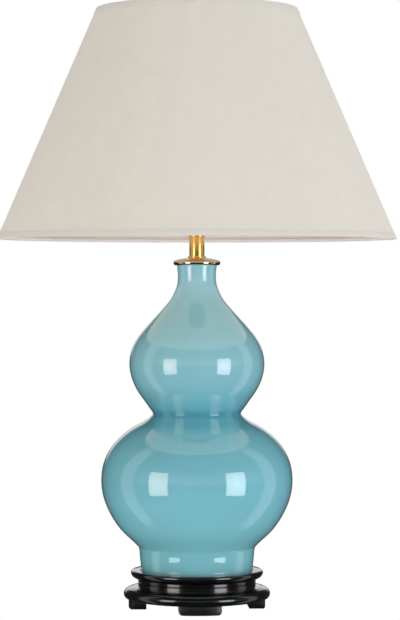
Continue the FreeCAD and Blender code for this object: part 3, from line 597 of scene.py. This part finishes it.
# ---------------------------------------------------------------- brass cap and neck tube
# Spun and turned brass, polished and clear lacquered: a warm mirror with faint turning lines.
# The cap is a shallow dish with a rolled edge that covers the vase's mouth.
def polished_brass(name, hex_code, roughness, turning_depth):
    """The real turning lines are 0.1 mm apart; here they are 0.5 mm apart so that they show."""
    material, tree, shader = finish_material(name, hex_code, roughness, metallic=1.0)
    smear = add_noise(tree, (60,) * 3, Detail=3.0)
    dull = add_node(tree, "ShaderNodeMapRange", links={"Value": smear},
                    From_Min=0.3, From_Max=0.7, To_Min=roughness * 0.7, To_Max=roughness * 1.6)
    tree.links.new(dull.outputs[0], shader.inputs["Roughness"])
    add_bump(tree, shader, add_noise(tree, (12, 12, 2000)), 0.12, turning_depth)
    return material


tube_brass = polished_brass("polished_brass", "#ffce7a", 0.24, 0.00003)
cap_brass = polished_brass("pale_polished_brass", "#d9c8ae", 0.08, 0.00002)
CAP_RISE = 5.6
CAP_SKIRT = 3.8
cap_base = base_of("neck_tube") - CAP_RISE
CAP_RADIUS = 30
cap_outline = rounded(
    [(ROD_HOLE_RADIUS, cap_base), (26.6, cap_base), (26.9, cap_base - CAP_SKIRT),
     (CAP_RADIUS, cap_base - CAP_SKIRT), (CAP_RADIUS, cap_base + 3), (25.4, cap_base + 3),
     (23.5, cap_base + 4), (14, cap_base + CAP_RISE), (ROD_HOLE_RADIUS, cap_base + CAP_RISE)],
    {2: 0.5, 3: 2.9, 4: 3.2, 5: 0.6, 6: 2, 7: 3})
new_piece("rolled_vase_cap", spun(cap_outline, 96), "root", cap_brass, "polished_brass", "vase_cap")

tube_low = base_of("neck_tube")
tube_high = top_of("neck_tube")
TUBE_RADIUS = 9.65
TUBE_WALL = 1
tube_outline = [(TUBE_RADIUS - TUBE_WALL, tube_low), (TUBE_RADIUS, tube_low),
                (TUBE_RADIUS, tube_high), (TUBE_RADIUS - TUBE_WALL, tube_high)]
new_piece("brass_neck_tube", spun(rounded(tube_outline, {1: 0.2, 2: 0.2}), 72), "root", tube_brass,
          "polished_brass", "neck_tube")
FLANGE_BORE = TUBE_RADIUS + 0.1
FLANGE_RADIUS = TUBE_RADIUS + 1.8
flange_high = tube_low + 2.4
flange_outline = rounded(
    [(FLANGE_BORE, tube_low), (FLANGE_RADIUS, tube_low), (FLANGE_RADIUS, flange_high),
     (FLANGE_BORE, flange_high)], {1: 0.4, 2: 0.8})
new_piece("brass_tube_flange", spun(flange_outline, 72), "root", tube_brass, "polished_brass",
          "tube_flange")


# ---------------------------------------------------------------- lampholder
# A turned brass lampholder with a dark phenolic push bar, a ceramic liner and sprung contacts.
dress(tube_brass, "tube_collar", "lampholder_cap", "threaded_sleeve", "lower_shade_ring",
      "upper_shade_ring", "switch_contacts", "switch_bridge", "terminal_screws", "screw_shell",
      "centre_contact", "push_bar", "carrier_plate", "carrier_wires", "carrier_gallery")


def phenolic():
    """Moulded phenolic resin: near black brown, glossy, with a faint flow in its colour."""
    material, tree, shader = finish_material("moulded_phenolic", "#1b1512", 0.2, ior=1.6)
    tint = add_ramp(tree, add_noise(tree, (200,) * 3),
                    [(0.3, colour("#140f0d")), (0.7, colour("#231b17"))])
    tree.links.new(tint.outputs[0], shader.inputs["Base Color"])
    return material


dress(phenolic(), "push_button_left", "push_button_right", "switch_block")


def fired_ceramic():
    """Unglazed steatite: chalky white with a fine grain."""
    material, tree, shader = finish_material("fired_steatite", "#e6e3da", 0.6)
    add_bump(tree, shader, add_noise(tree, (1800,) * 3), 0.2, 0.00008)
    return material


dress(fired_ceramic(), "socket_insulator", "bulb_cap_insulator")


# ---------------------------------------------------------------- bulb
# A blown glass bulb, white inside, on a nickel plated screw cap. The lamp is switched off.
def opal_glass():
    material, tree, shader = finish_material("opal_glass", "#efeee9", 0.12, ior=1.5)
    shader.inputs["Subsurface Weight"].default_value = 0.4
    shader.inputs["Subsurface Scale"].default_value = 0.01
    tint = add_ramp(tree, add_noise(tree, (40,) * 3),
                    [(0.3, colour("#e9e8e2")), (0.7, colour("#f3f2ee"))])
    tree.links.new(tint.outputs[0], shader.inputs["Base Color"])
    return material


def nickel_plate():
    material, tree, shader = finish_material("nickel_plate", "#c4c0b8", 0.25, metallic=1.0)
    add_bump(tree, shader, add_noise(tree, (500, 500, 90)), 0.1, 0.00005)
    return material


dress(opal_glass(), "bulb_glass", "bulb_stem")
dress(nickel_plate(), "bulb_cap", "bulb_tip")


# ---------------------------------------------------------------- shade
# An off-white cotton is glued over a white styrene cone, with a lapped seam at the back and a
# rolled hem at each end over a cotton wrapped wire hoop. The cloth is matte, with a plain weave
# drawn coarser than the real 0.4 mm so that it shows.
SHADE_LOW = base_of("shade_cover")
SHADE_HIGH = top_of("shade_cover")
LOW_RADIUS = 255.2
HIGH_RADIUS = 128.4
CLOTH = 0.7
LINER = 1.0
SHADE_STEPS = 180
THREAD_SCALE = 260.0
slope = (LOW_RADIUS - HIGH_RADIUS) / (SHADE_HIGH - SHADE_LOW)
lean = math.hypot(1, slope)


def let_light_through(material, share, hex_code):
    """Mixes in light that shines through the thin sheet from behind."""
    tree = material.node_tree
    shader = tree.nodes["Principled BSDF"]
    end = tree.nodes["Material Output"]
    through = add_node(tree, "ShaderNodeBsdfTranslucent")
    through.inputs["Color"].default_value = colour(hex_code)
    mixed = add_node(tree, "ShaderNodeMixShader",
                     links={1: shader.outputs[0], 2: through.outputs[0]})
    mixed.inputs[0].default_value = share
    tree.links.new(mixed.outputs[0], end.inputs["Surface"])
    return material


def shade_cloth():
    material, tree, shader = finish_material("offwhite_cotton", "#f0eee5", 0.9)
    shader.inputs["Sheen Weight"].default_value = 0.25
    shader.inputs["Sheen Roughness"].default_value = 0.6
    flat_cloth = add_node(tree, "ShaderNodeTexCoord").outputs["UV"]
    warp, weft = (add_node(tree, "ShaderNodeTexWave", {"bands_direction": way},
                           {"Vector": flat_cloth}, Scale=THREAD_SCALE, Distortion=0.6,
                           Detail=1.0).outputs["Fac"] for way in "XY")
    tint = add_ramp(tree, add_noise(tree, (60,) * 3, Detail=4.0),
                    [(0.3, colour("#eae8df")), (0.7, colour("#eeece5"))])
    tree.links.new(tint.outputs[0], shader.inputs["Base Color"])
    add_bump(tree, shader, add_math(tree, "ADD", warp, weft), 0.12, 0.0002)
    return let_light_through(material, 0.3, "#fbf7ee")


def cone_point(height, inset):
    """A point of the cone's half outline, inset inwards from the cloth's face, square to it."""
    return (LOW_RADIUS - slope * height - inset * lean, SHADE_LOW + height)


def lay_flat(form):
    """Gives the cone its flat pattern as UV in metres, so that the weave follows the cloth."""
    layer = form.loops.layers.uv.new("cloth")
    full = math.hypot(LOW_RADIUS, LOW_RADIUS / slope) * MM
    for face in form.faces:
        middle = face.calc_center_median()
        for loop in face.loops:
            place = loop.vert.co
            turn = math.atan2(place.x, -place.y)
            if middle.y > 0 and abs(middle.x) < 1e-3 * full:
                turn = math.copysign(turn, middle.x)
            from_axis = math.hypot(place.x, place.y)
            apex = math.hypot(from_axis, from_axis / slope)
            sweep = turn * math.sin(math.atan(slope))
            loop[layer].uv = (apex * math.sin(sweep), apex * math.cos(sweep))


cotton = shade_cloth()
height = SHADE_HIGH - SHADE_LOW
cover_outline = [cone_point(0, 0), cone_point(height, 0), cone_point(height, CLOTH),
                 cone_point(0, CLOTH)]
cover_form = spun(cover_outline, SHADE_STEPS)
lay_flat(cover_form)
cover = new_piece("cotton_cover", cover_form, "shade", cotton, "shade_cloth", "shade_cover")


def styrene():
    """White self-adhesive styrene, a touch warm. Its faint glow is painted light: it stands in for
    the light that the thin cone passes on from outside, which a few bounces alone don't gather."""
    material, tree, shader = finish_material("white_styrene", "#f7f4ef", 0.55)
    shader.inputs["Emission Color"].default_value = colour("#fff3ea")
    shader.inputs["Emission Strength"].default_value = 0.08
    add_bump(tree, shader, add_noise(tree, (400,) * 3), 0.1, 0.0001)
    return let_light_through(material, 0.45, "#fff8f2")


backing = styrene()
liner_outline = [cone_point(0, CLOTH), cone_point(height, CLOTH), cone_point(height, CLOTH + LINER),
                 cone_point(0, CLOTH + LINER)]
new_piece("styrene_backing", spun(liner_outline, SHADE_STEPS), "shade", backing, "shade_backing",
          "shade_liner")

HEM_THICK = 0.5
HEM_HEIGHT = 7


def hem(name, end, away_from_end, node):
    """Cloth tape rolled over the edge: end is its height, away_from_end is 1 up or -1 down."""
    reach = end + away_from_end * HEM_HEIGHT
    points = [cone_point(end, -HEM_THICK), cone_point(reach, -HEM_THICK), cone_point(reach, 0),
              cone_point(end, 0)]
    form = spun(rounded(points, {0: 0.22, 1: 0.22}, 3), SHADE_STEPS)
    lay_flat(form)
    new_piece(name, form, "shade", cotton, "shade_cloth", node)


hem("bottom_hem", 0, 1, "shade_bottom_trim")
hem("top_hem", height, -1, "shade_top_trim")

SEAM_WIDTH = 12
SEAM_THICK = 0.35
SEAM_COLUMNS = 6
SEAM_ROWS = 12


def seam_corner(form, row, column, lift):
    """A corner of the seam's grid. The lap stays as wide all the way up the cone."""
    across = SEAM_WIDTH * (column / SEAM_COLUMNS - 0.5)
    radius, level = cone_point(HEM_HEIGHT + (height - 2 * HEM_HEIGHT) * row / SEAM_ROWS, -lift)
    return form.verts.new((across * MM, math.sqrt(radius ** 2 - across ** 2) * MM, level * MM))


seam_form = bmesh.new()
rows, columns = range(SEAM_ROWS + 1), range(SEAM_COLUMNS + 1)
outer, inner = ([[seam_corner(seam_form, row, column, lift) for column in columns] for row in rows]
                for lift in (SEAM_THICK, -SEAM_THICK / 2))
for layer in (outer, inner):
    for row in range(SEAM_ROWS):
        for column in range(SEAM_COLUMNS):
            seam_form.faces.new((layer[row][column], layer[row][column + 1],
                                 layer[row + 1][column + 1], layer[row + 1][column]))
for row in range(SEAM_ROWS):
    for column in (0, SEAM_COLUMNS):
        seam_form.faces.new((outer[row][column], outer[row + 1][column],
                             inner[row + 1][column], inner[row][column]))
for column in range(SEAM_COLUMNS):
    for row in (0, SEAM_ROWS):
        seam_form.faces.new((outer[row][column], outer[row][column + 1],
                             inner[row][column + 1], inner[row][column]))
bmesh.ops.recalc_face_normals(seam_form, faces=seam_form.faces)
lay_flat(seam_form)
new_piece("back_seam", seam_form, "shade", cotton, "shade_cloth")


def coated_wire():
    """White powder coat on steel wire: a slightly pebbled satin."""
    material, tree, shader = finish_material("white_powder_coat", "#e4e3df", 0.4)
    add_bump(tree, shader, add_noise(tree, (900,) * 3), 0.2, 0.0001)
    return material


powder_coat = coated_wire()
dress(powder_coat, "shade_spokes", "shade_fitter_ring")
WIRE_SIDES = 12
wrapped_wire = felt("cotton_wrapped_wire", "#e9dbd9")
for place, node in (("bottom", "shade_bottom_wire"), ("top", "shade_top_wire")):
    low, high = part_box(node)
    wire = (high.z - low.z) / 2 / MM
    centre = high.x / MM - wire
    level = (high.z + low.z) / 2 / MM
    ring = [(centre + wire * math.cos(math.tau * step / WIRE_SIDES),
             level + wire * math.sin(math.tau * step / WIRE_SIDES)) for step in range(WIRE_SIDES)]
    new_piece(f"{place}_frame_wire", spun(ring, SHADE_STEPS), "shade", wrapped_wire,
              "white_coated_wire", node)
